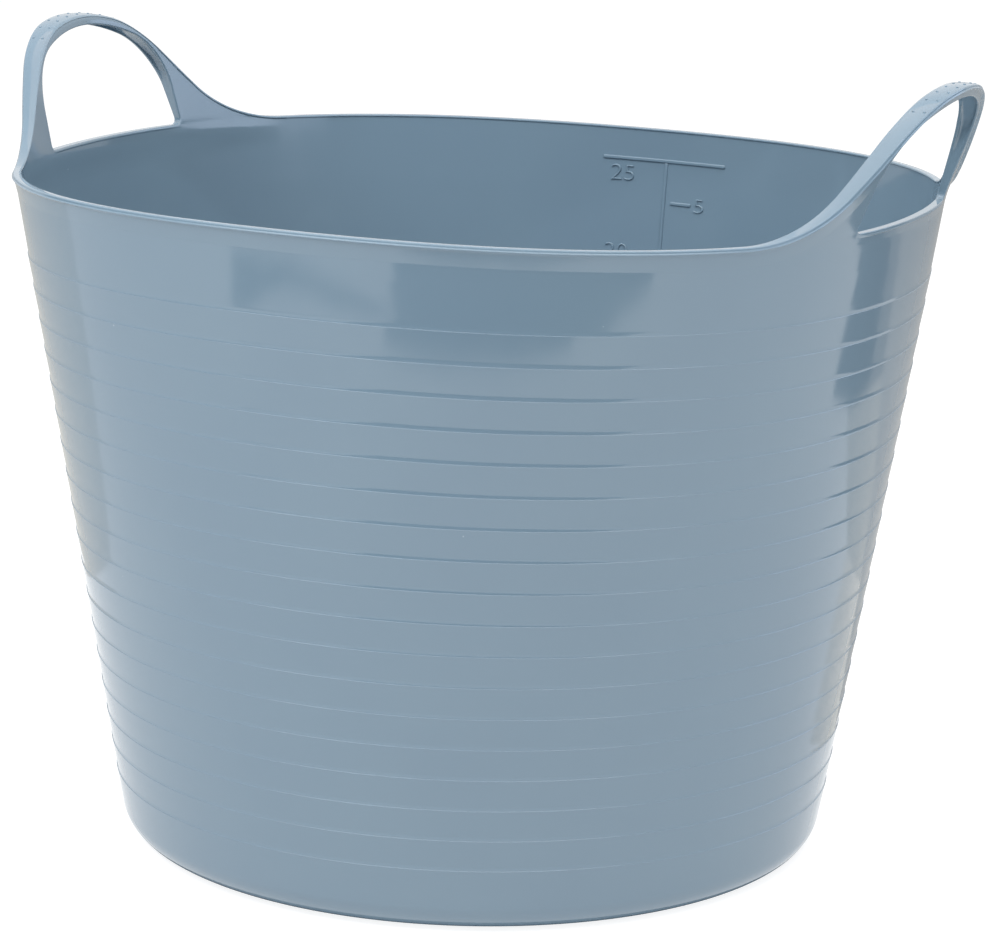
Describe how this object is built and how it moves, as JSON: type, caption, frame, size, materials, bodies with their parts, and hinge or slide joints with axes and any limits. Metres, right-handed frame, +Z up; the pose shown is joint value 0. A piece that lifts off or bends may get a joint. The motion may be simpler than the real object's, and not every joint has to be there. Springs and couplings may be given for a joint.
{
  "type": "flexible tub",
  "caption": "Round, tapering flexible tub with a ribbed outer wall, a beaded rim, arched hollow handles that bend, and a volume scale inside.",
  "frame": {"origin": "centre of the standing ring's plane, on the tub's axis", "axes": "+Z up along the tub's axis, handles on the X axis, volume scale on the +Y side"},
  "size_m": [0.4406, 0.399, 0.3422],
  "materials": {
    "polyethylene": "dusty blue, softly glossy moulding"
  },
  "bodies": {
    "tub": {"base_floor": "polyethylene", "base_corner": "polyethylene", "ribbed_wall": "polyethylene", "rim_band": "polyethylene", "volume_scale": "polyethylene", "left_front_leg": "polyethylene", "left_back_leg": "polyethylene", "right_front_leg": "polyethylene", "right_back_leg": "polyethylene"},
    "left_handle": {"left_grip": "polyethylene", "left_grip_pips": "polyethylene"},
    "right_handle": {"right_grip": "polyethylene", "right_grip_pips": "polyethylene"}
  },
  "joints": [
    {"name": "left_handle_flex", "type": "hinge", "parent": "tub", "child": "left_handle", "pos_m": [-0.189, 0, 0.3], "axis": [0, 1, 0], "range_deg": [-20, 60], "stiffness_Nm_per_rad": 0.8, "deforming": ["left_front_leg", "left_back_leg"]},
    {"name": "right_handle_flex", "type": "hinge", "parent": "tub", "child": "right_handle", "pos_m": [0.189, 0, 0.3], "axis": [0, -1, 0], "range_deg": [-20, 60], "stiffness_Nm_per_rad": 0.8, "deforming": ["right_front_leg", "right_back_leg"]}
  ]
}
